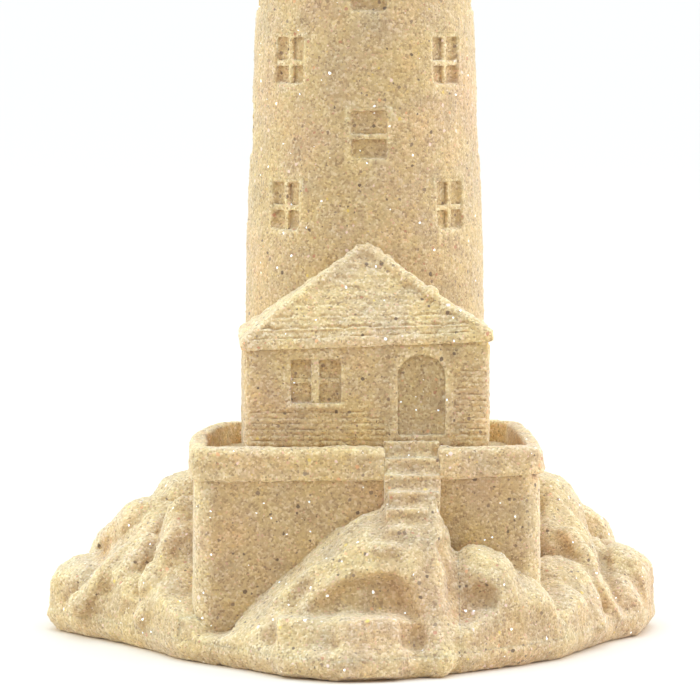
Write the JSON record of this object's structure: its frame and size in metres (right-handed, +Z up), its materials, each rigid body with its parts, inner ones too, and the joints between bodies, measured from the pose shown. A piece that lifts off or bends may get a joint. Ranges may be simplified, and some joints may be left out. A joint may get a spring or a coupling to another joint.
{
  "type": "lighthouse figurine",
  "caption": "Tabletop lighthouse figurine in bonded sand: round tower with gallery and lantern, keeper's cottage and walled terrace with a stair, on a rock base.",
  "frame": {"origin": "where the tower's axis meets the table, on the flat underside of the rock base", "axes": "+Z up along the tower's axis; the cottage door and the stair face -Y; +X is to the right seen from the front"},
  "size_m": [0.0925, 0.0908, 0.1614],
  "materials": {
    "bonded_sand": "matte, granular: pale quartz sand with dark, rust-red and ochre grains and clear glinting ones"
  },
  "bodies": {
    "root": {"cottage_door": "bonded_sand", "cottage_roof": "bonded_sand", "cottage_walls": "bonded_sand", "cottage_window": "bonded_sand", "finial": "bonded_sand", "front_rocks": "bonded_sand", "gallery_corbel": "bonded_sand", "gallery_deck": "bonded_sand", "gallery_parapet": "bonded_sand", "lantern_roof": "bonded_sand", "lantern_room": "bonded_sand", "left_rocks": "bonded_sand", "rear_rocks": "bonded_sand", "right_rocks": "bonded_sand", "rock_base": "bonded_sand", "stair_flight": "bonded_sand", "stair_rocks": "bonded_sand", "terrace_parapet": "bonded_sand", "terrace_walls": "bonded_sand", "tower_shaft": "bonded_sand", "tower_window_1_back_left": "bonded_sand", "tower_window_1_back_right": "bonded_sand", "tower_window_1_front_left": "bonded_sand", "tower_window_1_front_right": "bonded_sand", "tower_window_2_back": "bonded_sand", "tower_window_2_front": "bonded_sand", "tower_window_2_left": "bonded_sand", "tower_window_2_right": "bonded_sand", "tower_window_3_back_left": "bonded_sand", "tower_window_3_back_right": "bonded_sand", "tower_window_3_front_left": "bonded_sand", "tower_window_3_front_right": "bonded_sand", "tower_window_4_back": "bonded_sand", "tower_window_4_front": "bonded_sand", "tower_window_4_left": "bonded_sand", "tower_window_4_right": "bonded_sand", "tower_window_5_back_left": "bonded_sand", "tower_window_5_back_right": "bonded_sand", "tower_window_5_front_left": "bonded_sand", "tower_window_5_front_right": "bonded_sand"}
  },
  "joints": []
}
